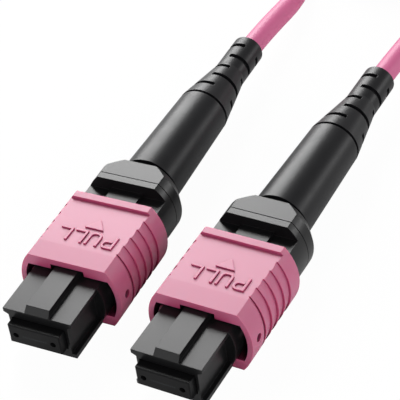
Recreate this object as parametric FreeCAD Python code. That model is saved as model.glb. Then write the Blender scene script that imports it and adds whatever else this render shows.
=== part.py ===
"""Multi-fibre patch cable: two push-pull plugs on one round cable, lying side by side with the key side up.

Each plug is drawn in its own frame: X across, Y from the front edge of the plug frame back towards the
cable, and Z up from the ferrule's axis. place() then sets both plugs on the floor. Lengths are in
millimetres.
"""
import FreeCAD, Part
import math
import os

from FreeCAD import Vector

# Plug axis above the floor: the sleeve and the collar lie on their flats.
HALF_HEIGHT = 4.0

# Ferrule: rectangular block with a shoulder, two guide holes and a pocket for its boot.
FERRULE_WIDTH = 6.4
FERRULE_HEIGHT = 2.5
FERRULE_LENGTH = 8.0
FERRULE_PROTRUSION = 1.2
FERRULE_EDGE = 0.12
SHOULDER_WIDTH = 6.7
SHOULDER_HEIGHT = 3.0
SHOULDER_LENGTH = 2.0
GUIDE_PITCH = 4.6
GUIDE_RADIUS = 0.35
FERRULE_TRAVEL = 0.6

# Fibre ribbon and the small boot that guides it out of the ferrule.
RIBBON_WIDTH = 3.1
RIBBON_THICKNESS = 0.3
RIBBON_CLEARANCE = 0.03
BUNDLE_SIZE = 1.3
FERRULE_BOOT_WIDTH = 3.4
FERRULE_BOOT_HEIGHT = 1.3
FERRULE_BOOT_INSIDE = 2.4
FERRULE_BOOT_OUTSIDE = 2.6

# Pin clamp behind the ferrule.
CLAMP_WIDTH = 6.4
CLAMP_HEIGHT = 2.6
CLAMP_THICKNESS = 1.4

# Plug frame, from the nose back to the collar.
NOSE_FRONT = -0.2
NOSE_HALF_WIDTH = 4.2
NOSE_HALF_HEIGHT = 2.4
NOSE_BOTTOM = 2.6
NOSE_WALL_HALF_WIDTH = 3.62
NOSE_LENGTH = 5.7
PLATE_EDGE = 0.5
PLATE_SLOPE = 0.3
FLANGE_HALF_WIDTH = 4.15
FLANGE_EDGE = 0.55
WINDOW_TOP = 1.36
WINDOW_BOTTOM = 1.42
KEY_HALF_WIDTH = 1.5
KEY_HEIGHT = 0.72
KEY_LEAN = 0.6
KEY_DRAFT = 0.08
LUMP_RADIUS = 4.8
LUMP_LENGTH = 3.2
WAIST_HALF_WIDTH = 3.95
WAIST_LENGTH = 6.7
NECK_LENGTH = 5.5
NECK_HALF_HEIGHT = 2.42
NECK_RIB_HALF_WIDTH = 1.95
NECK_RIB_HEIGHT = 0.4
COLLAR_RADIUS = 5.45
COLLAR_FRONT = 0.9
SEAM_GAP = 0.1
SEAM_INSET = 0.4
CHAMBER_HALF_WIDTH = 3.3
CHAMBER_HALF_HEIGHT = 1.62
FIT = 0.08

# Pull sleeve with its ridged grip.
SLEEVE_FRONT = 6.8
SLEEVE_LENGTH = 11.35
SLEEVE_RADIUS = 6.25
SLEEVE_BORE_RADIUS = 5.62
SLEEVE_BORE_HALF_HEIGHT = 2.58
NOTCH_HALF_WIDTH = 2.06
NOTCH_TOP = 3.25
SLEEVE_SMOOTH = 2.6
RIDGE_COUNT = 5
RIDGE_PITCH = 1.52
RIDGE_DEPTH = 0.24
RIDGE_FADE = 0.5
FIRST_VALLEY = 0.5
RAMP_DROP = 0.34
REAR_BAR = 0.95
SLEEVE_EDGE = 0.15
SIDE_HOLE_RADIUS = 0.5
SIDE_HOLE_SETBACK = 1.5
LUG_REACH = 1.45
LUG_HALF_HEIGHT = 0.8
LUG_LENGTH = 1.2
LUG_GAP = 0.05
SLEEVE_TRAVEL = 2.2

# Springs: coarse square wire, so many sides to a turn.
SIDE_SPRING_RADIUS = 0.58
SIDE_SPRING_WIRE = 0.2
SIDE_SPRING_TURNS = 4
FERRULE_SPRING_WIDTH = 5.9
FERRULE_SPRING_HEIGHT = 2.7
FERRULE_SPRING_WIRE = 0.32
FERRULE_SPRING_TURNS = 3
SPRING_SIDES = 6
SPRING_SEAT = 0.02

# Spring push: the rear body, from its tongue inside the frame to the crimp barrel.
TONGUE_LENGTH = 7.8
TONGUE_HALF_WIDTH = 3.2
TONGUE_HALF_HEIGHT = 1.52
TONGUE_BORE_HALF_WIDTH = 1.9
TONGUE_BORE_HALF_HEIGHT = 0.75
LATCH_LENGTH = 1.3
LATCH_HALF_HEIGHT = 0.8
LATCH_DEPTH = 0.55
LATCH_SETBACK = 3.9
COLLAR_REAR = 1.5
COLLAR_TAPER = 1.35
COLLAR_END_RADIUS = 4.5
BARREL_RADIUS = 2.1
BARREL_BORE = 1.3
BARREL_LENGTH = 8.2

# Yarn, crimp ring and strain relief boot.
YARN_THICKNESS = 0.12
CRIMP_WALL = 0.25
CRIMP_SETBACK = 0.7
BOOT_GAP = 0.1
BOOT_NECK_RADIUS = 3.15
BOOT_NECK_LENGTH = 1.0
BOOT_FRONT_RADIUS = 3.57
BOOT_GROOVE_RADIUS = 3.24
BOOT_GROOVE_STATION = 40.5
BOOT_TAPER_END = 48.3
BOOT_TAIL_RADIUS = 2.02
BOOT_END_STATION = 54.4
BOOT_END_ROUND = 0.25
SLOT_PITCH = 2.37
SLOT_COUNT = 5
SLOT_WIDTH = 0.62
SLOT_SPAN_DEG = 120.0
SLOT_START_DEG = 132.0
SLOT_FLOOR = 0.15
SLOT_FLATS = 3
GROOVE_WIDTH = 0.36
GROOVE_DEPTH = 0.4

# Cable and its put-away coil.
CABLE_DIAMETER = 2.8
CABLE_CLEARANCE = 0.03
LEAD_INSIDE_BOOT = 5.65
COIL_CENTRE = (9.6, 76.0)
COIL_INNER_RADIUS = 9.8
COIL_OUTER_RADIUS = 23.4
COIL_LAYERS = 2
COIL_SIDES = 36
TIE_THICKNESS = 0.8
TIE_WIDTH = 6.6

# Where the plugs lie: plug b beside plug a, a little forward and turned.
PLUG_B_OFFSET = (16.1, -1.2)
PLUG_B_TURN_DEG = -2.44

# Route of each free lead from inside its boot to the coil, in the part's frame, chosen by hand.
LEAD_A_ROUTE = [(0.0, 26.0, 4.0), (0.0, 34.5, 3.95), (0.1, 51.2, 1.4), (-8.42, 63.38, 1.4)]
LEAD_B_ROUTE = [(18.18, 24.76, 4.0), (18.59, 34.4, 3.93), (19.5, 51.3, 1.9), (27.62, 63.38, 4.2)]

# Stations along the plug that follow from the sizes above.
FERRULE_FACE = NOSE_FRONT - FERRULE_PROTRUSION
FERRULE_REAR = FERRULE_FACE + FERRULE_LENGTH
SHOULDER_FRONT = FERRULE_REAR - SHOULDER_LENGTH
LUMP_END = NOSE_LENGTH + LUMP_LENGTH
WAIST_END = LUMP_END + WAIST_LENGTH
NECK_END = WAIST_END + NECK_LENGTH
SEAM = NECK_END + COLLAR_FRONT
COLLAR_TAPER_START = SEAM + COLLAR_REAR
COLLAR_END = COLLAR_TAPER_START + COLLAR_TAPER
BARREL_END = COLLAR_END + BARREL_LENGTH
SLEEVE_END = SLEEVE_FRONT + SLEEVE_LENGTH
LUG_FRONT = LUMP_END + LUG_GAP
LUG_REAR = LUG_FRONT + LUG_LENGTH
CLAMP_FRONT = FERRULE_REAR + SPRING_SEAT
CLAMP_REAR = CLAMP_FRONT + CLAMP_THICKNESS
TONGUE_FRONT = SEAM - TONGUE_LENGTH
YARN_FLAT = BARREL_RADIUS + YARN_THICKNESS
CRIMP_FLAT = YARN_FLAT + CRIMP_WALL
CABLE_RADIUS = CABLE_DIAMETER / 2
ORIGIN_STATION = SEAM + COLLAR_REAR / 2
KEY_TOP = NOSE_HALF_HEIGHT + KEY_HEIGHT


def prism(outline, start, end):
    """A closed outline in X and Z, drawn from station start to station end along Y."""
    points = [Vector(x, start, z) for x, z in outline]
    face = Part.Face(Part.makePolygon(points + points[:1]))
    return face.extrude(Vector(0, end - start, 0))


def side_prism(outline, half_width):
    """A closed outline in Y and Z, drawn to half_width on both sides of the middle plane."""
    points = [Vector(-half_width, y, z) for y, z in outline]
    face = Part.Face(Part.makePolygon(points + points[:1]))
    return face.extrude(Vector(2 * half_width, 0, 0))


def block(half_width, half_height, start, end):
    """A block centred on the axis."""
    corner = Vector(-half_width, start, -half_height)
    return Part.makeBox(2 * half_width, end - start, 2 * half_height, corner)


def rod(radius, start, end):
    """A cylinder on the axis."""
    return Part.makeCylinder(radius, end - start, Vector(0, start, 0), Vector(0, 1, 0))


def flatted_rod(radius, half_height, start, end):
    """A cylinder on the axis with a flat on top and one below."""
    return rod(radius, start, end).common(block(radius, half_height, start, end))


def turned(profile):
    """A solid of revolution about the plug's axis, from (radius, station) points."""
    points = [Vector(0, y, -r) for r, y in profile]
    face = Part.Face(Part.makePolygon(points + points[:1]))
    return face.revolve(Vector(0, 0, 0), Vector(0, 1, 0), 360)


def hexagon(flat):
    """Outline of a hexagon whose flats lie that far from the axis."""
    corner = flat / math.cos(math.pi / 6)
    return [(corner * math.cos(math.pi / 3 * i), corner * math.sin(math.pi / 3 * i)) for i in range(6)]


def skin(rings):
    """A solid of flat triangles over a row of four-cornered rings."""
    triangles = []
    for ring in (rings[0], rings[-1]):
        triangles += [(ring[0], ring[1], ring[2]), (ring[0], ring[2], ring[3])]
    for ring, after in zip(rings, rings[1:]):
        for corner in range(4):
            a, b = ring[corner], ring[(corner + 1) % 4]
            c, d = after[(corner + 1) % 4], after[corner]
            triangles += [(a, b, c), (a, c, d)]
    faces = [Part.Face(Part.makePolygon([a, b, c, a])) for a, b, c in triangles]
    return Part.Solid(Part.Shell(faces))


def both_sides(shape):
    """The shape and its mirror image across the middle plane."""
    return [shape, shape.mirror(Vector(0, 0, 0), Vector(1, 0, 0))]


def plug_frame():
    """Inner housing: nose with side channels and key, lump, waist, neck and front half of the collar."""
    plate_low = NOSE_HALF_HEIGHT - PLATE_EDGE
    flange_high = FLANGE_EDGE - NOSE_BOTTOM
    right = [
        (NOSE_HALF_WIDTH, NOSE_HALF_HEIGHT), (NOSE_HALF_WIDTH, plate_low),
        (NOSE_WALL_HALF_WIDTH, plate_low - PLATE_SLOPE), (NOSE_WALL_HALF_WIDTH, flange_high),
        (FLANGE_HALF_WIDTH, flange_high), (FLANGE_HALF_WIDTH, -NOSE_BOTTOM),
    ]
    left = [(-x, z) for x, z in reversed(right)]
    nose = prism(right + left, NOSE_FRONT, NOSE_LENGTH)
    lump = flatted_rod(LUMP_RADIUS, NOSE_HALF_HEIGHT, NOSE_LENGTH, LUMP_END)
    waist = block(WAIST_HALF_WIDTH, NOSE_HALF_HEIGHT, LUMP_END, WAIST_END)
    neck = flatted_rod(COLLAR_RADIUS, NECK_HALF_HEIGHT, WAIST_END, NECK_END)
    collar = flatted_rod(COLLAR_RADIUS, HALF_HEIGHT, NECK_END, SEAM)
    rib = Part.makeBox(2 * NECK_RIB_HALF_WIDTH, NECK_LENGTH, NECK_HALF_HEIGHT + NECK_RIB_HEIGHT,
                       Vector(-NECK_RIB_HALF_WIDTH, WAIST_END, 0))
    body = nose.multiFuse([lump, waist, neck, collar, rib, key()])
    window = Part.makeBox(2 * CHAMBER_HALF_WIDTH, SHOULDER_FRONT - NOSE_FRONT, WINDOW_TOP + WINDOW_BOTTOM,
                          Vector(-CHAMBER_HALF_WIDTH, NOSE_FRONT, -WINDOW_BOTTOM))
    shoulder_room = block(SHOULDER_WIDTH / 2 + FIT, CHAMBER_HALF_HEIGHT,
                          SHOULDER_FRONT - SPRING_SEAT, LUMP_END)
    chamber = block(CHAMBER_HALF_WIDTH, CHAMBER_HALF_HEIGHT, SHOULDER_FRONT, SEAM)
    latch_window = block(COLLAR_RADIUS, LATCH_HALF_HEIGHT + FIT,
                         latch_front() - FIT, latch_front() + LATCH_LENGTH + FIT)
    return body.cut(window.multiFuse([shoulder_room, chamber, latch_window])).removeSplitter()


def key():
    """Key rib on the nose: its front leans back and its sides have draft."""
    side = [(NOSE_FRONT, 0), (NOSE_FRONT, NOSE_HALF_HEIGHT), (NOSE_FRONT + KEY_LEAN, KEY_TOP),
            (WAIST_END, KEY_TOP), (WAIST_END, 0)]
    top = KEY_HALF_WIDTH - KEY_DRAFT
    foot = NOSE_HALF_HEIGHT - KEY_HEIGHT
    section = [(-KEY_HALF_WIDTH, foot), (KEY_HALF_WIDTH, foot), (KEY_HALF_WIDTH, NOSE_HALF_HEIGHT),
               (top, KEY_TOP), (-top, KEY_TOP), (-KEY_HALF_WIDTH, NOSE_HALF_HEIGHT)]
    return side_prism(side, KEY_HALF_WIDTH).common(prism(section, NOSE_FRONT, WAIST_END))


def ridge_station(index):
    """Where the front wall of a grip ridge stands."""
    return SLEEVE_FRONT + SLEEVE_SMOOTH + FIRST_VALLEY + index * RIDGE_PITCH


def pull_sleeve():
    """Outer sleeve: flats above and below, sides cut into saw-tooth ridges, and a stepped rear bar."""
    body = flatted_rod(SLEEVE_RADIUS, HALF_HEIGHT, SLEEVE_FRONT, SLEEVE_END)
    grip_front = SLEEVE_FRONT + SLEEVE_SMOOTH
    grip_rear = SLEEVE_END - REAR_BAR
    cuts = []
    for side in (1, -1):
        low, high = side * (HALF_HEIGHT - RAMP_DROP), side * (HALF_HEIGHT + RAMP_DROP)
        ramp = [(grip_front, side * HALF_HEIGHT), (grip_rear, low), (grip_rear, high), (grip_front, high)]
        cuts.append(side_prism(ramp, SLEEVE_RADIUS))
    # The ridges are turned about an axis beyond the plug's own, so they run out towards the flats.
    crest = SLEEVE_RADIUS + RIDGE_FADE
    valley, outside = crest - RIDGE_DEPTH, crest + RIDGE_DEPTH
    start = grip_front
    for index in range(RIDGE_COUNT):
        wall = ridge_station(index)
        tooth = turned([(crest, start), (valley, wall), (outside, wall), (outside, start)])
        tooth.translate(Vector(-RIDGE_FADE, 0, 0))
        cuts += both_sides(tooth)
        start = wall
    body = body.cut(cuts[0].multiFuse(cuts[1:]))
    bore = flatted_rod(SLEEVE_BORE_RADIUS, SLEEVE_BORE_HALF_HEIGHT, SLEEVE_FRONT, SLEEVE_END)
    notch = Part.makeBox(2 * NOTCH_HALF_WIDTH, SLEEVE_LENGTH, NOTCH_TOP,
                         Vector(-NOTCH_HALF_WIDTH, SLEEVE_FRONT, 0))
    hole = Part.makeCylinder(SIDE_HOLE_RADIUS, 2 * SLEEVE_RADIUS,
                             Vector(-SLEEVE_RADIUS, SLEEVE_FRONT + SIDE_HOLE_SETBACK, 0), Vector(1, 0, 0))
    body = body.cut(bore.multiFuse([notch, hole]))
    middle = (SLEEVE_BORE_RADIUS + SLEEVE_RADIUS) / 2
    lug = Part.makeBox(middle - SLEEVE_BORE_RADIUS + LUG_REACH, LUG_LENGTH, 2 * LUG_HALF_HEIGHT,
                       Vector(SLEEVE_BORE_RADIUS - LUG_REACH, LUG_FRONT, -LUG_HALF_HEIGHT))
    return body.multiFuse(both_sides(lug)).removeSplitter()


def ferrule():
    """Ferrule with its rear shoulder, chamfered front edges, guide holes and boot pocket."""
    front = block(FERRULE_WIDTH / 2, FERRULE_HEIGHT / 2, FERRULE_FACE, FERRULE_REAR)
    edges = [e for e in front.Edges if all(abs(v.Y - FERRULE_FACE) < 1e-6 for v in e.Vertexes)]
    front = front.makeChamfer(FERRULE_EDGE, edges)
    body = front.fuse(block(SHOULDER_WIDTH / 2, SHOULDER_HEIGHT / 2, SHOULDER_FRONT, FERRULE_REAR))
    pocket = block(FERRULE_BOOT_WIDTH / 2 + FIT, FERRULE_BOOT_HEIGHT / 2 + FIT,
                   FERRULE_REAR - FERRULE_BOOT_INSIDE, FERRULE_REAR)
    holes = []
    for x in (-GUIDE_PITCH / 2, GUIDE_PITCH / 2):
        hole = Part.makeCylinder(GUIDE_RADIUS, FERRULE_LENGTH, Vector(x, FERRULE_FACE, 0), Vector(0, 1, 0))
        holes.append(hole)
    return body.cut(pocket.multiFuse(holes)).removeSplitter()


def ferrule_boot():
    """Soft boot in the ferrule's pocket, slit for the ribbon."""
    start = FERRULE_REAR - FERRULE_BOOT_INSIDE
    end = FERRULE_REAR + FERRULE_BOOT_OUTSIDE
    body = block(FERRULE_BOOT_WIDTH / 2, FERRULE_BOOT_HEIGHT / 2, start, end)
    slit = block(RIBBON_WIDTH / 2 + RIBBON_CLEARANCE, RIBBON_THICKNESS / 2 + RIBBON_CLEARANCE, start, end)
    return body.cut(slit)


def pin_clamp():
    """Spacer between ferrule and spring, with a window for the ferrule's boot."""
    body = block(CLAMP_WIDTH / 2, CLAMP_HEIGHT / 2, CLAMP_FRONT, CLAMP_REAR)
    window = block(FERRULE_BOOT_WIDTH / 2 + FIT, FERRULE_BOOT_HEIGHT / 2 + FIT, CLAMP_FRONT, CLAMP_REAR)
    return body.cut(window)


def coil_spring(half_width, half_height, wire, turns, start, end, shift):
    """Square-wire compression spring on an oval helix, closed at both ends, from planar facets."""
    steps = turns * SPRING_SIDES
    rise = (end - start - wire) / steps
    rings = []
    for step in range(steps + 1):
        angle = 2 * math.pi * step / SPRING_SIDES
        out = Vector(math.cos(angle), 0, math.sin(angle))
        y = start + wire / 2 + rise * step
        ring = []
        for radial, axial in ((-1, -1), (1, -1), (1, 1), (-1, 1)):
            grow = (radial - 1) * wire / 2
            x = shift + (half_width + grow) * out.x
            ring.append(Vector(x, y + axial * wire / 2, (half_height + grow) * out.z))
        rings.append(ring)
    return skin(rings)


def sleeve_springs():
    """The two side springs between the sleeve's lugs and the front of the neck."""
    shift = (WAIST_HALF_WIDTH + SLEEVE_BORE_RADIUS) / 2
    springs = []
    for side in (shift, -shift):
        spring = coil_spring(SIDE_SPRING_RADIUS, SIDE_SPRING_RADIUS, SIDE_SPRING_WIRE, SIDE_SPRING_TURNS,
                             LUG_REAR + SPRING_SEAT, WAIST_END - SPRING_SEAT, side)
        springs.append(spring)
    return Part.makeCompound(springs)


def ferrule_spring():
    """Oval spring between the pin clamp and the spring push."""
    return coil_spring(FERRULE_SPRING_WIDTH / 2, FERRULE_SPRING_HEIGHT / 2, FERRULE_SPRING_WIRE,
                       FERRULE_SPRING_TURNS, CLAMP_REAR + SPRING_SEAT, TONGUE_FRONT - SPRING_SEAT, 0)


def fibre_ribbon():
    """Flat ribbon from the ferrule's boot that narrows into a square bundle inside the barrel."""
    flat = (RIBBON_WIDTH / 2, RIBBON_THICKNESS / 2)
    bundle = (BUNDLE_SIZE / 2, BUNDLE_SIZE / 2)
    start = FERRULE_REAR - FERRULE_BOOT_INSIDE
    stations = [(start, flat), (TONGUE_FRONT, flat), (SEAM, bundle), (BARREL_END, bundle)]
    corners = ((-1, -1), (1, -1), (1, 1), (-1, 1))
    sections = []
    for y, (half_width, half_height) in stations:
        sections.append([Vector(sx * half_width, y, sz * half_height) for sx, sz in corners])
    return skin(sections).removeSplitter()


def latch_front():
    """Front of the spring push's snap latches."""
    return TONGUE_FRONT + LATCH_SETBACK - LATCH_LENGTH


def spring_push():
    """Rear body: tongue with snap latches, rear half of the collar with its taper, and crimp barrel."""
    tongue = block(TONGUE_HALF_WIDTH, TONGUE_HALF_HEIGHT, TONGUE_FRONT, SEAM)
    tip = TONGUE_HALF_WIDTH + LATCH_DEPTH
    front, rear = latch_front(), latch_front() + LATCH_LENGTH
    outline = [(TONGUE_HALF_WIDTH, front), (tip, rear), (TONGUE_HALF_WIDTH, rear)]
    points = [Vector(x, y, 0) for x, y in outline]
    latch = Part.Face(Part.makePolygon(points + points[:1])).extrude(Vector(0, 0, 2 * LATCH_HALF_HEIGHT))
    latch.translate(Vector(0, 0, -LATCH_HALF_HEIGHT))
    front = SEAM + SEAM_GAP
    collar = turned([(0, front), (COLLAR_RADIUS, front), (COLLAR_RADIUS, COLLAR_TAPER_START),
                     (COLLAR_END_RADIUS, COLLAR_END), (0, COLLAR_END)])
    collar = collar.common(block(COLLAR_RADIUS, HALF_HEIGHT, front, COLLAR_END))
    seat = block(HALF_HEIGHT, HALF_HEIGHT - SEAM_INSET, SEAM, front)
    body = tongue.multiFuse(both_sides(latch) + [seat, collar, rod(BARREL_RADIUS, COLLAR_END, BARREL_END)])
    bore = block(TONGUE_BORE_HALF_WIDTH, TONGUE_BORE_HALF_HEIGHT, TONGUE_FRONT, SEAM)
    return body.cut(bore.fuse(rod(BARREL_BORE, SEAM, BARREL_END))).removeSplitter()


def aramid_yarn():
    """Yarn folded back over the round barrel and pressed to six flats."""
    start = COLLAR_END + CRIMP_SETBACK
    return prism(hexagon(YARN_FLAT), start, BARREL_END).cut(rod(BARREL_RADIUS, start, BARREL_END))


def crimp_ring():
    """Metal ring crimped to six flats over the yarn."""
    start = COLLAR_END + CRIMP_SETBACK
    return prism(hexagon(CRIMP_FLAT), start, BARREL_END).cut(prism(hexagon(YARN_FLAT), start, BARREL_END))


def strain_relief():
    """Boot: neck behind the collar, long cone, ring groove, tapered tail with slots, and its bores."""
    front = COLLAR_END + BOOT_GAP
    step = front + BOOT_NECK_LENGTH
    groove = (BOOT_GROOVE_STATION - GROOVE_WIDTH / 2, BOOT_GROOVE_STATION + GROOVE_WIDTH / 2)
    bottom = BOOT_GROOVE_RADIUS - GROOVE_DEPTH
    bore = CABLE_RADIUS + CABLE_CLEARANCE
    profile = [
        (bore, front), (BOOT_NECK_RADIUS, front), (BOOT_NECK_RADIUS, step), (BOOT_FRONT_RADIUS, step),
        (BOOT_GROOVE_RADIUS, groove[0]), (bottom, groove[0]),
        (bottom, groove[1]), (BOOT_GROOVE_RADIUS, groove[1]),
        (BOOT_TAIL_RADIUS, BOOT_TAPER_END), (BOOT_TAIL_RADIUS, BOOT_END_STATION - BOOT_END_ROUND),
        (BOOT_TAIL_RADIUS - BOOT_END_ROUND, BOOT_END_STATION), (bore, BOOT_END_STATION),
    ]
    cuts = [prism(hexagon(CRIMP_FLAT + FIT), front, BARREL_END + FIT)]
    for level in range(SLOT_COUNT):
        middle = BOOT_GROOVE_STATION + (level + 1) * SLOT_PITCH
        for half in (0, 180):
            cuts.append(boot_slot(middle, SLOT_START_DEG + 90 * (level % 2) + half))
    return turned(profile).cut(cuts[0].multiFuse(cuts[1:]))


def boot_slot(middle, centre_deg):
    """Cutter for one slot of the boot's tail, flat-floored, centred at an angle from X towards Z."""
    floor = CABLE_RADIUS + CABLE_CLEARANCE + SLOT_FLOOR
    step = math.radians(SLOT_SPAN_DEG) / SLOT_FLATS
    first = math.radians(centre_deg - SLOT_SPAN_DEG / 2)
    angles = [first + step * i for i in range(SLOT_FLATS + 1)]
    inner = floor / math.cos(step / 2)
    outer = 2 * BOOT_FRONT_RADIUS
    outline = [(inner * math.cos(a), inner * math.sin(a)) for a in angles]
    outline += [(outer * math.cos(a), outer * math.sin(a)) for a in reversed(angles)]
    return prism(outline, middle - SLOT_WIDTH / 2, middle + SLOT_WIDTH / 2)


def jacket_end():
    """End of the cable jacket inside the boot, from the barrel to where the free lead starts."""
    return rod(CABLE_RADIUS, BARREL_END, BOOT_END_STATION - LEAD_INSIDE_BOOT)


def cable_tube(route, name):
    """Round tube along straight runs joined by tangent arcs that are as large as the runs allow."""
    points = [Vector(*p) for p in route]
    edges = []
    start = points[0]
    smallest = None
    for before, corner, after in zip(points, points[1:], points[2:]):
        u = (corner - before).normalize()
        v = (after - corner).normalize()
        turn = u.getAngle(v)
        reach = 0.45 * min((corner - before).Length, (after - corner).Length)
        radius = reach / math.tan(turn / 2)
        smallest = radius if smallest is None else min(smallest, radius)
        enter, leave = corner - u * reach, corner + v * reach
        inward = (v - u).normalize()
        middle = corner + inward * (radius / math.cos(turn / 2) - radius)
        edges.append(Part.LineSegment(start, enter).toShape())
        edges.append(Part.Arc(enter, middle, leave).toShape())
        start = leave
    edges.append(Part.LineSegment(start, points[-1]).toShape())
    path = Part.Wire(edges)
    first = (points[1] - points[0]).normalize()
    ring = Part.Wire(Part.makeCircle(CABLE_RADIUS, points[0], first))
    tube = path.makePipeShell([ring], True, True)
    expected = math.pi * CABLE_RADIUS ** 2 * path.Length
    ratio = tube.Volume / expected
    print(f"{name}: length {path.Length:.1f}, smallest radius {smallest:.1f}, volume ratio {ratio:.4f}")
    return tube


def coil_disc(radius, low, high):
    """A many-sided disc about the coil's axis."""
    centre = Vector(COIL_CENTRE[0], COIL_CENTRE[1], low)
    angles = [2 * math.pi * i / COIL_SIDES for i in range(COIL_SIDES)]
    points = [centre + Vector(radius * math.cos(a), radius * math.sin(a), 0) for a in angles]
    return Part.Face(Part.makePolygon(points + points[:1])).extrude(Vector(0, 0, high - low))


def cable_coil():
    """Outer shape of the put-away turns, lying on the tie."""
    top = TIE_THICKNESS + COIL_LAYERS * CABLE_DIAMETER
    outer = coil_disc(COIL_OUTER_RADIUS, TIE_THICKNESS, top)
    return outer.cut(coil_disc(COIL_INNER_RADIUS, TIE_THICKNESS, top))


def coil_tie():
    """Strap closed round the turns on the coil's far side."""
    high = 2 * TIE_THICKNESS + COIL_LAYERS * CABLE_DIAMETER
    outer = coil_disc(COIL_OUTER_RADIUS + TIE_THICKNESS, 0, high)
    ring = outer.cut(coil_disc(COIL_INNER_RADIUS - TIE_THICKNESS, 0, high))
    corner = Vector(COIL_CENTRE[0] - TIE_WIDTH / 2, COIL_CENTRE[1], 0)
    far = Part.makeBox(TIE_WIDTH, 2 * COIL_OUTER_RADIUS, high, corner)
    return ring.common(far).cut(cable_coil())


def place(shape, plug):
    """Sets a plug's piece on the floor where the plug lies."""
    shape = shape.copy()
    if plug == "b":
        shape.rotate(Vector(0, 0, 0), Vector(0, 0, 1), PLUG_B_TURN_DEG)
        shape.translate(Vector(PLUG_B_OFFSET[0], PLUG_B_OFFSET[1], 0))
    shape.translate(Vector(0, -ORIGIN_STATION, HALF_HEIGHT))
    return shape


PLUG_PIECES = [
    plug_frame, pull_sleeve, sleeve_springs, ferrule, ferrule_boot, pin_clamp, ferrule_spring,
    fibre_ribbon, spring_push, aramid_yarn, crimp_ring, strain_relief, jacket_end,
]


def main():
    """Writes one file for each piece."""
    os.makedirs("parts", exist_ok=True)
    for piece in PLUG_PIECES:
        shape = piece()
        for plug in "ab":
            place(shape, plug).exportStep(f"parts/{piece.__name__}_{plug}.step")
    cable_tube(LEAD_A_ROUTE, "cable_lead_a").exportStep("parts/cable_lead_a.step")
    cable_tube(LEAD_B_ROUTE, "cable_lead_b").exportStep("parts/cable_lead_b.step")
    cable_coil().exportStep("parts/cable_coil.step")
    coil_tie().exportStep("parts/coil_tie.step")


main()
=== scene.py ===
"""Dresses the fibre optic patch cable: finishes, lettering, the wound cable, its strap and the studio."""
import math

import bmesh
import bpy
from bpy.props import FloatProperty, FloatVectorProperty, IntProperty, PointerProperty
from mathutils import Matrix, Quaternion, Vector


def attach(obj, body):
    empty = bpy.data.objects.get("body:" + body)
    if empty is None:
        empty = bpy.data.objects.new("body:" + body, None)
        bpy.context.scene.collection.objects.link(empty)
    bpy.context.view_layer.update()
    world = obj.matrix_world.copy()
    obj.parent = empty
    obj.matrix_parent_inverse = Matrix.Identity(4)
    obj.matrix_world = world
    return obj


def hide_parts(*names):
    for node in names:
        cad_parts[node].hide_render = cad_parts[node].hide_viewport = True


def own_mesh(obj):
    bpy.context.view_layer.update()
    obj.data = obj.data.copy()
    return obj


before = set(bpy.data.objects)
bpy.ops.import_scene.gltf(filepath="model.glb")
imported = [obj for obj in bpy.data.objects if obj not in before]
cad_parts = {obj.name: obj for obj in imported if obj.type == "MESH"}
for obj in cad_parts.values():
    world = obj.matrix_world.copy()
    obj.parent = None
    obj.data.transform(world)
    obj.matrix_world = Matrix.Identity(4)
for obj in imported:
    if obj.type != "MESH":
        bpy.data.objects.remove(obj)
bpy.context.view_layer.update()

bl_info = {
    "name": "Fibre patch cable",
    "version": (1, 0, 0),
    "blender": (4, 5, 0),
    "location": "3D View > Sidebar > Patch cable",
    "description": "Builds the looks of a fibre optic patch cable on its packed CAD frame",
    "category": "Object",
}

MM = 0.001
PLUGS = ("a", "b")
WHITE = (1.0, 1.0, 1.0, 1.0)

# Sockets of a Mix node that mixes colours. They go by number because its other modes use the same names.
MIX_FACTOR, MIX_A, MIX_B, MIX_RESULT = 0, 6, 7, 2

# Where the plugs lie, as in the part's source: plug b is moved and turned, plug a is not. All lengths from
# here to the strap are in millimetres.
AXIS_HEIGHT = 4.0
ORIGIN_STATION = 22.75
PLUG_SHIFT = {"a": (0.0, 0.0), "b": (16.1, -1.2)}
PLUG_TURN_DEG = {"a": 0.0, "b": -2.44}

# Routes of the free leads, as in the part's source.
LEAD_A_ROUTE = [(0.0, 26.0, 4.0), (0.0, 34.5, 3.95), (0.1, 51.2, 1.4), (-8.42, 63.38, 1.4)]
LEAD_B_ROUTE = [(18.18, 24.76, 4.0), (18.59, 34.4, 3.93), (19.5, 51.3, 1.9), (27.62, 63.38, 4.2)]

# The put-away turns: two layers, wound inwards on the floor and outwards on top.
COIL_CENTRE = (9.6, 76.0)
COIL_OUTER_TURN = 22.0
COIL_INNER_TURN = 11.2
COIL_START_DEG = 215.0
COIL_TURNS_PER_LAYER = 3.847
# The part of a turn in which the cable climbs from the lower layer to the upper one.
COIL_CLIMB_TURNS = 0.3

# The strap passes under the turns at an angle round the coil and lifts them for a stretch to both sides.
STRAP_DEG = 90
STRAP_SPREAD_DEG = 30
STRAP_LIFT = 0.8

# A stroke's corner reaches out no further than its half width divided by this.
MITRE_LIMIT = 0.4


def hex_linear(text):
    """An sRGB hex colour as linear red, green and blue."""
    values = [int(text[i:i + 2], 16) / 255 for i in (1, 3, 5)]
    return tuple(v / 12.92 if v <= 0.04045 else ((v + 0.055) / 1.055) ** 2.4 for v in values)


def add(tree, kind, inputs=None, **settings):
    """Adds a node, applies its settings, and sets or links its inputs."""
    node = tree.nodes.new(kind)
    for name, value in settings.items():
        setattr(node, name, value)
    for name, value in (inputs or {}).items():
        if isinstance(value, bpy.types.NodeSocket):
            tree.links.new(value, node.inputs[name])
        else:
            node.inputs[name].default_value = value
    return node


def new_material(name):
    """A node material, its tree, and the object coordinates that its patterns go by."""
    material = bpy.data.materials.new(name)
    material.use_nodes = True
    tree = material.node_tree
    tree.nodes.clear()
    return material, tree, add(tree, "ShaderNodeTexCoord").outputs["Object"]


def per_metre(size_mm):
    """The texture scale at which one feature is about size_mm across."""
    return 1 / (size_mm * MM)


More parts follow.
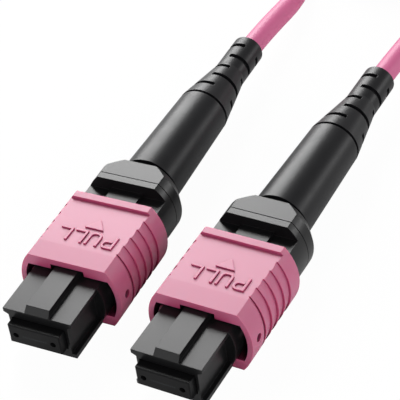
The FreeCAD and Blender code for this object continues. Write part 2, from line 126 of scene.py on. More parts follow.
def wave_scale(spacing_mm):
    """The scale at which a wave texture's bands lie spacing_mm apart: it counts 20 radians to a unit."""
    return 2 * math.pi / (20 * spacing_mm * MM)


def rgba(colour):
    """A colour with full opacity."""
    return (*colour[:3], 1.0)


def shades(colour, low, high):
    """The two ends of a mix: the colour at two shares of its brightness."""
    return {MIX_A: rgba([v * low for v in colour[:3]]), MIX_B: rgba([v * high for v in colour[:3]])}


def black_pbt(colour):
    """Glass-filled PBT, moulded in a spark-eroded tool: matt black that greys where it mirrors a softbox."""
    material, tree, place = new_material("black_pbt_moulded")
    # The real texture is about 0.03 mm and is drawn at 0.16 mm so that it shows.
    grain = add(tree, "ShaderNodeTexNoise", {
        "Vector": place, "Scale": per_metre(0.16), "Detail": 4.0, "Roughness": 0.6})
    flow = add(tree, "ShaderNodeTexNoise", {"Vector": place, "Scale": per_metre(5.0), "Detail": 3.0})
    tint = add(tree, "ShaderNodeMix", {MIX_FACTOR: flow.outputs["Fac"], **shades(colour, 0.8, 1.25)},
               data_type="RGBA")
    rough = add(tree, "ShaderNodeMapRange", {"Value": grain.outputs["Fac"], "To Min": 0.26, "To Max": 0.36})
    # The mould leaves edges with a radius of about 0.06 mm.
    edge = add(tree, "ShaderNodeBevel", {"Radius": 0.06 * MM}, samples=6)
    bump = add(tree, "ShaderNodeBump", {
        "Height": grain.outputs["Fac"], "Normal": edge.outputs["Normal"], "Strength": 0.08,
        "Distance": 0.02 * MM})
    shader = add(tree, "ShaderNodeBsdfPrincipled", {
        "Base Color": tint.outputs[MIX_RESULT], "Roughness": rough.outputs["Result"],
        "Normal": bump.outputs["Normal"], "IOR": 1.54, "Specular IOR Level": 0.165})
    add(tree, "ShaderNodeOutputMaterial", {"Surface": shader.outputs["BSDF"]})
    return material


def pink_pbt(colour):
    """Unfilled PBT, moulded: an even satin pink, with painted shade deep crimson in grooves and dark in
    holes.
    """
    material, tree, place = new_material("pink_pbt_moulded")
    # The real texture is about 0.02 mm and is drawn at 0.14 mm so that it shows.
    grain = add(tree, "ShaderNodeTexNoise", {
        "Vector": place, "Scale": per_metre(0.14), "Detail": 3.0, "Roughness": 0.55})
    flow = add(tree, "ShaderNodeTexNoise", {"Vector": place, "Scale": per_metre(7.0), "Detail": 2.0})
    even = add(tree, "ShaderNodeMix", {MIX_FACTOR: flow.outputs["Fac"], **shades(colour, 0.97, 1.03)},
               data_type="RGBA")
    # Painted shade: grooves, the side holes and the feet of the letters are up to 2.5 mm deep or wide, and
    # # there the pink is painted towards deep crimson. The holes are the most closed in and are painted near
    # black.
    painted_shade_ao = add(tree, "ShaderNodeAmbientOcclusion", {"Distance": 2.5 * MM}, samples=8)
    closed = add(tree, "ShaderNodeMapRange", {
        "Value": painted_shade_ao.outputs["AO"], "From Min": 0.3, "From Max": 0.44})
    # The painted shade's two colours: near black for the holes, deep crimson for the rest.
    shade = add(tree, "ShaderNodeMix", {
        MIX_FACTOR: closed.outputs["Result"], MIX_A: rgba(hex_linear("#1c030b")),
        MIX_B: rgba(hex_linear("#a3365f"))}, data_type="RGBA")
    # How far the pink goes towards the painted shade.
    depth = add(tree, "ShaderNodeMapRange", {
        "Value": painted_shade_ao.outputs["AO"], "From Min": 0.4, "From Max": 0.95})
    tint = add(tree, "ShaderNodeMix", {
        MIX_FACTOR: depth.outputs["Result"], MIX_A: shade.outputs[MIX_RESULT],
        MIX_B: even.outputs[MIX_RESULT]}, data_type="RGBA")
    rough = add(tree, "ShaderNodeMapRange", {"Value": grain.outputs["Fac"], "To Min": 0.36, "To Max": 0.48})
    # The mould leaves edges with a radius of about 0.07 mm.
    edge = add(tree, "ShaderNodeBevel", {"Radius": 0.07 * MM}, samples=6)
    bump = add(tree, "ShaderNodeBump", {
        "Height": grain.outputs["Fac"], "Normal": edge.outputs["Normal"], "Strength": 0.05,
        "Distance": 0.02 * MM})
    shader = add(tree, "ShaderNodeBsdfPrincipled", {
        "Base Color": tint.outputs[MIX_RESULT], "Roughness": rough.outputs["Result"],
        "Normal": bump.outputs["Normal"], "IOR": 1.54, "Specular IOR Level": 0.25, "Subsurface Weight": 0.5,
        "Subsurface Radius": (1.0, 0.25, 0.4), "Subsurface Scale": 0.5 * MM})
    add(tree, "ShaderNodeOutputMaterial", {"Surface": shader.outputs["BSDF"]})
    return material


def black_tpe(colour):
    """Thermoplastic elastomer, moulded in a polished tool: soft black with long, clear highlights."""
    material, tree, place = new_material("black_tpe_moulded")
    bloom = add(tree, "ShaderNodeTexNoise", {
        "Vector": place, "Scale": per_metre(2.5), "Detail": 4.0, "Roughness": 0.6})
    # The skin's orange peel is about 0.1 mm and is drawn at 0.3 mm so that it shows.
    skin = add(tree, "ShaderNodeTexNoise", {"Vector": place, "Scale": per_metre(0.3), "Detail": 2.0})
    tint = add(tree, "ShaderNodeMix", {MIX_FACTOR: bloom.outputs["Fac"], **shades(colour, 0.85, 1.2)},
               data_type="RGBA")
    rough = add(tree, "ShaderNodeMapRange", {"Value": bloom.outputs["Fac"], "To Min": 0.34, "To Max": 0.44})
    # The mould leaves edges with a radius of about 0.06 mm.
    edge = add(tree, "ShaderNodeBevel", {"Radius": 0.06 * MM}, samples=6)
    bump = add(tree, "ShaderNodeBump", {
        "Height": skin.outputs["Fac"], "Normal": edge.outputs["Normal"], "Strength": 0.015,
        "Distance": 0.02 * MM})
    shader = add(tree, "ShaderNodeBsdfPrincipled", {
        "Base Color": tint.outputs[MIX_RESULT], "Roughness": rough.outputs["Result"],
        "Normal": bump.outputs["Normal"], "IOR": 1.5, "Specular IOR Level": 0.15})
    add(tree, "ShaderNodeOutputMaterial", {"Surface": shader.outputs["BSDF"]})
    return material


def black_pps(colour):
    """Silica-filled PPS, moulded and polished on the end face: near black and smooth, with pale specks."""
    material, tree, place = new_material("black_pps_polished")
    # Filler is about 0.02 mm and is drawn at 0.12 mm so that it shows.
    specks = add(tree, "ShaderNodeTexVoronoi", {"Vector": place, "Scale": per_metre(0.12)})
    dots = add(tree, "ShaderNodeMapRange", {
        "Value": specks.outputs["Distance"], "From Min": 0.0, "From Max": 0.18, "To Min": 0.35,
        "To Max": 0.0})
    tint = add(tree, "ShaderNodeMix", {MIX_FACTOR: dots.outputs["Result"], **shades(colour, 1.0, 2.2)},
               data_type="RGBA")
    rough = add(tree, "ShaderNodeMapRange", {
        "Value": specks.outputs["Distance"], "To Min": 0.26, "To Max": 0.36})
    # Polishing leaves the edges of the end face with a radius of about 0.04 mm.
    edge = add(tree, "ShaderNodeBevel", {"Radius": 0.04 * MM}, samples=6)
    shader = add(tree, "ShaderNodeBsdfPrincipled", {
        "Base Color": tint.outputs[MIX_RESULT], "Roughness": rough.outputs["Result"],
        "Normal": edge.outputs["Normal"], "IOR": 1.6, "Specular IOR Level": 0.06})
    add(tree, "ShaderNodeOutputMaterial", {"Surface": shader.outputs["BSDF"]})
    return material


def pink_jacket(colour):
    """Low-smoke jacket compound, extruded: satin pink with one broad, soft highlight along the cable."""
    material, tree, place = new_material("pink_jacket_extruded")
    cloud = add(tree, "ShaderNodeTexNoise", {"Vector": place, "Scale": per_metre(4.0), "Detail": 3.0})
    # The compound's filler gives a skin of about 0.05 mm, drawn at 0.25 mm so that it shows.
    skin = add(tree, "ShaderNodeTexNoise", {
        "Vector": place, "Scale": per_metre(0.25), "Detail": 3.0, "Roughness": 0.6})
    tint = add(tree, "ShaderNodeMix", {MIX_FACTOR: cloud.outputs["Fac"], **shades(colour, 0.94, 1.06)},
               data_type="RGBA")
    rough = add(tree, "ShaderNodeMapRange", {"Value": skin.outputs["Fac"], "To Min": 0.46, "To Max": 0.54})
    bump = add(tree, "ShaderNodeBump", {
        "Height": skin.outputs["Fac"], "Strength": 0.006, "Distance": 0.02 * MM})
    shader = add(tree, "ShaderNodeBsdfPrincipled", {
        "Base Color": tint.outputs[MIX_RESULT], "Roughness": rough.outputs["Result"],
        "Normal": bump.outputs["Normal"], "IOR": 1.5, "Specular IOR Level": 0.25})
    add(tree, "ShaderNodeOutputMaterial", {"Surface": shader.outputs["BSDF"]})
    return material


def drawn_steel(colour):
    """Stainless spring steel, drawn: bright grey wire with faint darker marks from the die."""
    material, tree, place = new_material("stainless_steel_drawn")
    # Marks from the die are about 0.05 mm wide and are drawn at 0.3 mm so that they show.
    marks = add(tree, "ShaderNodeTexNoise", {"Vector": place, "Scale": per_metre(0.3), "Detail": 3.0})
    tint = add(tree, "ShaderNodeMix", {MIX_FACTOR: marks.outputs["Fac"], **shades(colour, 0.8, 1.0)},
               data_type="RGBA")
    rough = add(tree, "ShaderNodeMapRange", {"Value": marks.outputs["Fac"], "To Min": 0.22, "To Max": 0.38})
    shader = add(tree, "ShaderNodeBsdfPrincipled", {
        "Base Color": tint.outputs[MIX_RESULT], "Roughness": rough.outputs["Result"], "Metallic": 1.0})
    add(tree, "ShaderNodeOutputMaterial", {"Surface": shader.outputs["BSDF"]})
    return material


def nickel_plate(colour):
    """Nickel-plated brass, turned: warm grey metal with fine rings from the tool."""
    material, tree, place = new_material("nickel_plated_brass_turned")
    # Tool marks are about 0.05 mm apart and are drawn at 0.2 mm so that they show.
    rings = add(tree, "ShaderNodeTexWave", {"Vector": place, "Scale": wave_scale(0.2), "Distortion": 0.4},
                bands_direction="Y")
    rough = add(tree, "ShaderNodeMapRange", {"Value": rings.outputs["Fac"], "To Min": 0.22, "To Max": 0.36})
    bump = add(tree, "ShaderNodeBump", {
        "Height": rings.outputs["Fac"], "Strength": 0.1, "Distance": 0.01 * MM})
    shader = add(tree, "ShaderNodeBsdfPrincipled", {
        "Base Color": rgba(colour), "Roughness": rough.outputs["Result"], "Normal": bump.outputs["Normal"],
        "Metallic": 1.0})
    add(tree, "ShaderNodeOutputMaterial", {"Surface": shader.outputs["BSDF"]})
    return material


def aramid_yarn(colour):
    """Aramid yarn, combed flat over the barrel: golden strands with a soft sheen."""
    material, tree, place = new_material("aramid_yarn_combed")
    # Filaments are about 0.012 mm and are drawn as strands of 0.15 mm so that they show.
    stretch = add(tree, "ShaderNodeMapping", {"Vector": place, "Scale": (1.0, 0.08, 1.0)})
    strands = add(tree, "ShaderNodeTexNoise", {
        "Vector": stretch.outputs["Vector"], "Scale": per_metre(0.15), "Detail": 3.0})
    tint = add(tree, "ShaderNodeMix", {MIX_FACTOR: strands.outputs["Fac"], **shades(colour, 0.6, 1.0)},
               data_type="RGBA")
    bump = add(tree, "ShaderNodeBump", {
        "Height": strands.outputs["Fac"], "Strength": 0.4, "Distance": 0.05 * MM})
    shader = add(tree, "ShaderNodeBsdfPrincipled", {
        "Base Color": tint.outputs[MIX_RESULT], "Roughness": 0.6, "Normal": bump.outputs["Normal"],
        "Sheen Weight": 0.3})
    add(tree, "ShaderNodeOutputMaterial", {"Surface": shader.outputs["BSDF"]})
    return material


def ribbon_coating(colour):
    """Acrylate matrix over the fibres, drawn and cured: pale and glossy, with a line along each fibre."""
    material, tree, place = new_material("acrylate_ribbon_cured")
    # Fibres lie 0.25 mm apart.
    lines = add(tree, "ShaderNodeTexWave", {"Vector": place, "Scale": wave_scale(0.25)}, bands_direction="X")
    tint = add(tree, "ShaderNodeMix", {MIX_FACTOR: lines.outputs["Fac"], **shades(colour, 0.7, 1.0)},
               data_type="RGBA")
    shader = add(tree, "ShaderNodeBsdfPrincipled", {
        "Base Color": tint.outputs[MIX_RESULT], "Roughness": 0.25, "IOR": 1.51})
    add(tree, "ShaderNodeOutputMaterial", {"Surface": shader.outputs["BSDF"]})
    return material


def grey_pom(colour):
    """Acetal, moulded: slick mid grey with faint flow marks."""
    material, tree, place = new_material("grey_acetal_moulded")
    flow = add(tree, "ShaderNodeTexNoise", {"Vector": place, "Scale": per_metre(0.8), "Detail": 3.0})
    tint = add(tree, "ShaderNodeMix", {MIX_FACTOR: flow.outputs["Fac"], **shades(colour, 0.85, 1.0)},
               data_type="RGBA")
    rough = add(tree, "ShaderNodeMapRange", {"Value": flow.outputs["Fac"], "To Min": 0.3, "To Max": 0.42})
    shader = add(tree, "ShaderNodeBsdfPrincipled", {
        "Base Color": tint.outputs[MIX_RESULT], "Roughness": rough.outputs["Result"], "IOR": 1.48})
    add(tree, "ShaderNodeOutputMaterial", {"Surface": shader.outputs["BSDF"]})
    return material


def woven_strap(colour):
    """Nylon hook-and-loop tape, woven: a matt black pile of tiny loops, with painted light and shade across
    it.
    """
    material, tree, place = new_material("nylon_loop_woven")
    # Loops are about 0.15 mm across and are drawn at 0.22 mm so that they show.
    loops = add(tree, "ShaderNodeTexVoronoi", {
        "Vector": place, "Scale": per_metre(0.22), "Randomness": 0.9})
    # Strands in a loop are about 0.02 mm and are drawn at 0.07 mm so that they show.
    strands = add(tree, "ShaderNodeTexNoise", {
        "Vector": place, "Scale": per_metre(0.07), "Detail": 3.0, "Roughness": 0.7})
    pile = add(tree, "ShaderNodeMath", {0: loops.outputs["Distance"], 1: strands.outputs["Fac"]},
               operation="MULTIPLY")
    # Painted light and shade: paler at the middle of each loop and darker between the loops.
    tint = add(tree, "ShaderNodeMix", {MIX_FACTOR: pile.outputs[0], **shades(colour, 1.4, 0.4)},
               data_type="RGBA")
    bump = add(tree, "ShaderNodeBump", {"Height": pile.outputs[0], "Strength": 0.6, "Distance": 0.08 * MM})
    shader = add(tree, "ShaderNodeBsdfPrincipled", {
        "Base Color": tint.outputs[MIX_RESULT], "Roughness": 0.95, "Normal": bump.outputs["Normal"],
        "IOR": 1.53, "Specular IOR Level": 0.15, "Sheen Weight": 0.12})
    add(tree, "ShaderNodeOutputMaterial", {"Surface": shader.outputs["BSDF"]})
    return material


def silica_glass(colour):
    """Silica fibre, cleaved and polished: a dark, clear dot that glints when it is lit."""
    material, tree, place = new_material("silica_fibre_polished")
    # The core is about 0.05 mm across in a fibre of 0.125 mm.
    core = add(tree, "ShaderNodeTexNoise", {"Vector": place, "Scale": per_metre(0.05)})
    tint = add(tree, "ShaderNodeMix", {MIX_FACTOR: core.outputs["Fac"], **shades(colour, 0.8, 1.0)},
               data_type="RGBA")
    shader = add(tree, "ShaderNodeBsdfPrincipled", {
        "Base Color": tint.outputs[MIX_RESULT], "Roughness": 0.08, "IOR": 1.46, "Specular IOR Level": 0.3})
    add(tree, "ShaderNodeOutputMaterial", {"Surface": shader.outputs["BSDF"]})
    return material


def seen_rays(tree, straight, mirrored):
    """How much white a ray sees: one share straight or through glass, another in a mirroring surface."""
    rays = add(tree, "ShaderNodeLightPath")
    clear = add(tree, "ShaderNodeMath", {
        0: rays.outputs["Is Camera Ray"], 1: rays.outputs["Is Transmission Ray"]}, operation="MAXIMUM")
    direct = add(tree, "ShaderNodeMath", {0: clear.outputs[0], 1: straight}, operation="MULTIPLY")
    glossy = add(tree, "ShaderNodeMath", {0: rays.outputs["Is Glossy Ray"], 1: mirrored},
                 operation="MULTIPLY")
    either = add(tree, "ShaderNodeMath", {0: direct.outputs[0], 1: glossy.outputs[0]}, operation="MAXIMUM")
    return either.outputs[0]


def studio_paper(colour):
    """Matt paper sweep: it keeps a faint shadow and is white to the camera and in reflections."""
    material, tree, place = new_material("white_paper_sweep")
    fibres = add(tree, "ShaderNodeTexNoise", {"Vector": place, "Scale": per_metre(1.5), "Detail": 4.0})
    tint = add(tree, "ShaderNodeMix", {MIX_FACTOR: fibres.outputs["Fac"], **shades(colour, 0.99, 1.0)},
               data_type="RGBA")
    matt = add(tree, "ShaderNodeBsdfDiffuse", {"Color": tint.outputs[MIX_RESULT]})
    white = add(tree, "ShaderNodeEmission", {"Color": WHITE, "Strength": 1.0})
    # Under and beside the plugs the paper lies in shade, and a mirroring side shows that shade.
    shade = add(tree, "ShaderNodeAmbientOcclusion", {"Distance": 12.0 * MM}, samples=8)
    open_paper = add(tree, "ShaderNodeMapRange", {
        "Value": shade.outputs["AO"], "From Min": 0.3, "To Max": 0.7})
    share = seen_rays(tree, straight=0.97, mirrored=open_paper.outputs["Result"])
    mix = add(tree, "ShaderNodeMixShader", {0: share, 1: matt.outputs["BSDF"], 2: white.outputs["Emission"]})
    add(tree, "ShaderNodeOutputMaterial", {"Surface": mix.outputs["Shader"]})
    return material


def dress(name, material):
    """Gives a CAD node its finish."""
    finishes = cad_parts[name].data.materials
    finishes.clear()
    finishes.append(material)


def plug_matrix(plug):
    """From a plug's own millimetres to the part's frame in metres."""
    x, y = PLUG_SHIFT[plug]
    place = Matrix.Translation(Vector((x, y - ORIGIN_STATION, AXIS_HEIGHT)) * MM)
    return place @ Matrix.Rotation(math.radians(PLUG_TURN_DEG[plug]), 4, "Z") @ Matrix.Scale(MM, 4)


def built_mesh(name, build):
    """A mesh of what was built, which is then let go."""
    mesh = bpy.data.meshes.new(name)
    build.to_mesh(mesh)
    build.free()
    return mesh


def new_piece(name, data, material):
    """An object in the scene with one material."""
    data.materials.append(material)
    piece = bpy.data.objects.new(name, data)
    bpy.context.scene.collection.objects.link(piece)
    return piece


def stroke_outline(line, half):
    """The outline of a stroke of even width along a line, with mitred corners and square ends."""
    points = [Vector(p) for p in line]
    left, right = [], []
    for i, point in enumerate(points):
        before = (point - points[i - 1]).normalized() if i else None
        after = (points[i + 1] - point).normalized() if i + 1 < len(points) else None
        leave = after or before
        run = ((before or after) + leave).normalized()
        side = Vector((-run.y, run.x))
        reach = half / max(MITRE_LIMIT, side.dot(Vector((-leave.y, leave.x))))
        end = run * half if before is None or after is None else Vector((0, 0))
        out = -end if before is None else end
        left.append(point + side * reach + out)
        right.append(point - side * reach + out)
    return [tuple(p) for p in left + right[::-1]]


class PatchCableSizes(bpy.types.PropertyGroup):
    """Sizes that a user would change."""

    cable_diameter: FloatProperty(
        name="Cable diameter", description="Outside diameter of the jacket", default=2.8 * MM,
        min=0.5 * MM, precision=5, unit="LENGTH")
    cable_length: FloatProperty(
        name="Cable length", description="Jacket length between the two boots", default=0.88, min=0.1,
        unit="LENGTH")
    points_per_turn: IntProperty(
        name="Points per turn", description="Control points in each turn of the put-away coil", default=14,
        min=12)
    letter_height: FloatProperty(
        name="Letter height", description="Cap height of the raised word on the sleeve", default=1.82 * MM,
        precision=5, unit="LENGTH")
    letter_stroke: FloatProperty(
        name="Letter stroke", description="Width of a letter's strokes", default=0.3 * MM, precision=5,
        unit="LENGTH")
    letter_relief: FloatProperty(
        name="Letter relief", description="How far the lettering stands above the sleeve",
        default=0.17 * MM, precision=5, unit="LENGTH")


class PatchCableFinish(bpy.types.PropertyGroup):
    """Colours that a user would change."""

    sleeve: FloatVectorProperty(
        name="Sleeve", description="Colour of the pull sleeves", subtype="COLOR", min=0, max=1,
        default=hex_linear("#b4617f"))
    jacket: FloatVectorProperty(
        name="Jacket", description="Colour of the cable jacket", subtype="COLOR", min=0, max=1,
        default=hex_linear("#bf5f87"))
    housing: FloatVectorProperty(
        name="Housing", description="Colour of the plug housings", subtype="COLOR", min=0, max=1,
        default=hex_linear("#101011"))
    boot: FloatVectorProperty(
        name="Boot", description="Colour of the strain relief boots", subtype="COLOR", min=0, max=1,
        default=hex_linear("#101012"))
    ferrule: FloatVectorProperty(
        name="Ferrule", description="Colour of the ferrules", subtype="COLOR", min=0, max=1,
        default=hex_linear("#0e0e0f"))
    strap: FloatVectorProperty(
        name="Strap", description="Colour of the strap on the coil", subtype="COLOR", min=0, max=1,
        default=hex_linear("#202124"))


class PATCHCABLE_OT_housings(bpy.types.Operator):
    """Finish the plug frames, spring pushes and ferrules, and show the fibre ends"""

    bl_idname = "patchcable.housings"
    bl_label = "Housings and ferrules"

    # The row of fibre ends, in the plug's millimetres. Each is a short rod whose middle lies inside the
    # ferrule and whose slightly narrower front stands out of the polished face.
    fibre_count = 12
    fibre_pitch = 0.25
    fibre_radius = 0.0625
    fibre_front_share = 0.9
    face_station = -1.4
    inside = 0.1
    stand = 0.002

    def execute(self, context):
        finish = context.scene.patch_cable_finish
        housing = black_pbt(finish.housing)
        ferrule = black_pps(finish.ferrule)
        glass = silica_glass(hex_linear("#2c3236"))
        for plug in PLUGS:
            dress(f"plug_frame_{plug}", housing)
            dress(f"spring_push_{plug}", housing)
            dress(f"ferrule_{plug}", ferrule)
            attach(self.fibre_ends(plug, glass), f"ferrule_{plug}")
        return {"FINISHED"}

    def fibre_ends(self, plug, glass):
        """The polished fibre ends in a row between the guide holes."""
        build = bmesh.new()
        forward = Matrix.Rotation(math.radians(90), 4, "X")
        for index in range(self.fibre_count):
            across = self.fibre_pitch * (index - (self.fibre_count - 1) / 2)
            spot = Matrix.Translation((across, self.face_station + self.inside, 0.0))
            bmesh.ops.create_cone(
                build, cap_ends=True, segments=16, radius1=self.fibre_radius,
                radius2=self.fibre_radius * self.fibre_front_share, depth=2 * (self.inside + self.stand),
                matrix=spot @ forward)
        bmesh.ops.transform(build, matrix=plug_matrix(plug), verts=build.verts)
        mesh = built_mesh(f"fibre_ends_{plug}", build)
        return new_piece(f"fibre_ends_{plug}", mesh, glass)


class PATCHCABLE_OT_sleeves(bpy.types.Operator):
    """Finish the pull sleeves and raise the word and arrow that say which way to pull"""

    bl_idname = "patchcable.sleeves"
    bl_label = "Pull sleeves"

    # The ramp that carries the lettering: its start and height, then its end and height. All lengths here
    # are in the plug's millimetres.
    ramp = ((9.4, 4.0), (17.2, 3.66))
    # Strokes as read: along the line from the first stem, and up from the foot of the letters.
    cap_height = 1.82
    letters = [
        [(0.0, 0.0), (0.0, 1.82), (0.8, 1.82), (1.06, 1.74), (1.22, 1.52), (1.22, 1.1), (1.06, 0.88),
         (0.8, 0.8), (0.32, 0.8)],
        [(1.88, 1.82), (1.88, 0.5), (1.96, 0.22), (2.18, 0.03), (2.5, -0.02), (2.85, 0.03), (3.07, 0.22),
         (3.15, 0.5), (3.15, 1.82)],
        [(3.8, 1.82), (3.8, 0.0), (5.05, 0.0)],
        [(5.64, 1.82), (5.64, 0.0), (6.9, 0.0)],
    ]
    line_start = 3.65
    foot_station = 12.2
    arrow = [(-0.87, 12.86), (1.48, 12.86), (0.38, 14.5)]
    # How far the lettering reaches under the ramp, and the rounding of its edges.
    root = 0.1
    edge_width = 0.04
    edge_angle_deg = 50

    def execute(self, context):
        sizes = context.scene.patch_cable_sizes
        pink = pink_pbt(context.scene.patch_cable_finish.sleeve)
        for plug in PLUGS:
            dress(f"pull_sleeve_{plug}", pink)
            piece = self.lettering(plug, sizes, pink)
            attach(piece, f"sleeve_{plug}")
        return {"FINISHED"}

    def ramp_height(self, station):
        """Height of the ramp's surface at a station."""
        (y0, z0), (y1, z1) = self.ramp
        return z0 + (z1 - z0) * (station - y0) / (y1 - y0)

    def lettering(self, plug, sizes, pink):
        """The word and arrow as one raised mesh."""
        half = sizes.letter_stroke / MM / 2
        tall = sizes.letter_height / MM / self.cap_height
        relief = sizes.letter_relief / MM
        build = bmesh.new()
        for stroke in self.letters:
            line = [(self.line_start - u, self.foot_station - v * tall) for u, v in stroke]
            self.raise_outline(build, stroke_outline(line, half), relief)
        self.raise_outline(build, self.arrow, relief)
        bmesh.ops.recalc_face_normals(build, faces=build.faces)
        bmesh.ops.transform(build, matrix=plug_matrix(plug), verts=build.verts)
        mesh = built_mesh(f"pull_lettering_{plug}", build)
        piece = new_piece(f"pull_lettering_{plug}", mesh, pink)
        bevel = piece.modifiers.new("soft_edge", "BEVEL")
        bevel.width = self.edge_width * MM
        bevel.segments = 2
        bevel.limit_method = "ANGLE"
        bevel.angle_limit = math.radians(self.edge_angle_deg)
        return piece

    def raise_outline(self, build, outline, relief):
        """A closed outline lifted from just under the ramp to its relief."""
        low = [build.verts.new((x, y, self.ramp_height(y) - self.root)) for x, y in outline]
        high = [build.verts.new((x, y, self.ramp_height(y) + relief)) for x, y in outline]
        build.faces.new(high)
        build.faces.new(list(reversed(low)))
        for i in range(len(outline)):
            j = (i + 1) % len(outline)
            build.faces.new((low[i], low[j], high[j], high[i]))


class PATCHCABLE_OT_boots(bpy.types.Operator):
    """Finish the slotted strain relief boots"""

    bl_idname = "patchcable.boots"
    bl_label = "Strain relief boots"

    def execute(self, context):
        rubber = black_tpe(context.scene.patch_cable_finish.boot)
        for plug in PLUGS:
            dress(f"strain_relief_{plug}", rubber)
        return {"FINISHED"}


class PATCHCABLE_OT_inner_parts(bpy.types.Operator):
    """Finish the springs, crimps, yarn, ribbons and other pieces inside the plugs"""

    bl_idname = "patchcable.inner_parts"
    bl_label = "Inner parts"

    # Each spring's joint, the station of its still end, its length at rest and its joint's travel, in the
    # plug's millimetres.
    springs = {
        "sleeve_springs": ("sleeve_slide", 15.58, 5.41, 2.2),
        "ferrule_spring": ("ferrule_slide", 14.18, 6.14, 0.6),
    }

    def execute(self, context):
        steel = drawn_steel(hex_linear("#c9cbce"))
        finishes = {
            "sleeve_springs": steel,
            "ferrule_spring": steel,
            "crimp_ring": nickel_plate(hex_linear("#c8c1b2")),
            "aramid_yarn": aramid_yarn(hex_linear("#e2c25a")),
            "fibre_ribbon": ribbon_coating(hex_linear("#a9d3e2")),
            "pin_clamp": grey_pom(hex_linear("#7d7f83")),
            "ferrule_boot": black_tpe(hex_linear("#303032")),
        }
        for plug in PLUGS:
            for name, material in finishes.items():
                dress(f"{name}_{plug}", material)
            self.squeeze_springs(plug)
        return {"FINISHED"}

    def squeeze_springs(self, plug):
        """Gives each spring a mesh of its own."""
        for name, (joint, still_end, length, travel) in self.springs.items():
            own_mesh(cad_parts[f"{name}_{plug}"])


class PATCHCABLE_OT_cable(bpy.types.Operator):
    """Lay the cable from plug a through its put-away coil to plug b"""

    bl_idname = "patchcable.cable"
    bl_label = "Cable"

    def execute(self, context):
        sizes = context.scene.patch_cable_sizes
        jacket = pink_jacket(context.scene.patch_cable_finish.jacket)
        points = LEAD_A_ROUTE + self.coil_points(sizes) + LEAD_B_ROUTE[::-1]
        curve = bpy.data.curves.new("cable", "CURVE")
        curve.dimensions = "3D"
        spline = curve.splines.new("NURBS")
        spline.points.add(len(points) - 1)
        for knot, point in zip(spline.points, points):
            knot.co = (*(v * MM for v in point), 1.0)
        spline.order_u = 3
        spline.use_endpoint_u = True
        spline.resolution_u = 8
        curve.bevel_depth = sizes.cable_diameter / 2
        curve.bevel_resolution = 6
        curve.use_fill_caps = True
        cable = new_piece("cable", curve, jacket)
        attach(cable, "cable")
        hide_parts("cable_lead_a", "cable_lead_b", "cable_coil")
        for plug in PLUGS:
            dress(f"jacket_end_{plug}", jacket)
        return {"FINISHED"}

    def coil_points(self, sizes):
        """Turns wound clockwise: inwards on the floor, up at the middle and outwards on top."""
        diameter = sizes.cable_diameter / MM
        count = sizes.points_per_turn
        steps = math.ceil(2 * COIL_TURNS_PER_LAYER * count)
        # A spline of order 3 takes three quarters of its place from one point and a quarter from the two
        # beside it, so it runs inside the points. They are set out further by as much.
        bulge = 1 / (0.75 + 0.25 * math.cos(2 * math.pi / count))
        points = []
        for step in range(1, steps):
            turn = step / count
            angle = math.radians(COIL_START_DEG) - 2 * math.pi * turn
            outward = abs(turn - COIL_TURNS_PER_LAYER) / COIL_TURNS_PER_LAYER
            radius = COIL_INNER_TURN + (COIL_OUTER_TURN - COIL_INNER_TURN) * outward
            # The climb starts and ends gently.
            climb = min(max((turn - COIL_TURNS_PER_LAYER) / COIL_CLIMB_TURNS + 0.5, 0.0), 1.0)
            climbed = diameter * climb * climb * (3 - 2 * climb)
            off_strap = (math.degrees(angle) - STRAP_DEG + 180) % 360 - 180
            lift = STRAP_LIFT * math.exp(-(off_strap / STRAP_SPREAD_DEG) ** 2)
            height = diameter / 2 + climbed + lift
            points.append((COIL_CENTRE[0] + radius * bulge * math.cos(angle),
                           COIL_CENTRE[1] + radius * bulge * math.sin(angle), height))
        return points


class PATCHCABLE_OT_strap(bpy.types.Operator):
    """Close a hook-and-loop strap round the coil"""

    bl_idname = "patchcable.strap"
    bl_label = "Coil strap"

    # The strap's middle surface, in millimetres: outwards from the middle of the coil, and up from the floor.
    inner, outer, low, high, corner = 9.4, 23.8, 0.4, 6.75, 1.6
    half_width = 3.3
    # Its start, and its end that laps over the start: outwards from the inner side, and up from the top.
    start = [(4.0, 0.05)]
    lap = [(3.2, 0.1), (4.4, 0.42), (8.0, 0.42)]
    thickness = 0.7
    edge_width = 0.15
    # Faces in a rounded corner and across the strap.
    corner_faces = 6
    faces_across = 6

    def execute(self, context):
        nylon = woven_strap(context.scene.patch_cable_finish.strap)
        strap = new_piece("hook_and_loop_strap", self.band(), nylon)
        thick = strap.modifiers.new("thickness", "SOLIDIFY")
        thick.thickness = self.thickness * MM
        thick.offset = 0.0
        soft = strap.modifiers.new("soft_edge", "BEVEL")
        soft.width = self.edge_width * MM
        soft.segments = 2
        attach(strap, "cable")
        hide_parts("coil_tie")
        return {"FINISHED"}

    def outline(self):
        """Once round the turns, from the start on top to the lapped end."""
        near, far = self.inner + self.corner, self.outer - self.corner
        under, over = self.low + self.corner, self.high - self.corner
        line = [(self.inner + r, self.high + z) for r, z in self.start]
        for r, z, first_deg in ((far, over, 90), (far, under, 0), (near, under, -90), (near, over, -180)):
            for step in range(self.corner_faces + 1):
                turn = math.radians(first_deg - 90 * step / self.corner_faces)
                line.append((r + self.corner * math.cos(turn), z + self.corner * math.sin(turn)))
        return line + [(self.inner + r, self.high + z) for r, z in self.lap]

    def band(self):
        """The strap's middle surface: its outline carried across its width, following the round coil."""
        build = bmesh.new()
        middle = self.faces_across / 2
        rows = []
        for r, z in self.outline():
            row = []
            for step in range(self.faces_across + 1):
                along = (step - middle) / middle * self.half_width
                out = math.sqrt(r * r - along * along)
                row.append(build.verts.new(
                    ((COIL_CENTRE[0] + along) * MM, (COIL_CENTRE[1] + out) * MM, z * MM)))
            rows.append(row)
        for row, after in zip(rows, rows[1:]):
            for step in range(self.faces_across):
                build.faces.new((row[step], row[step + 1], after[step + 1], after[step]))
        bmesh.ops.recalc_face_normals(build, faces=build.faces)
        return built_mesh("hook_and_loop_strap", build)


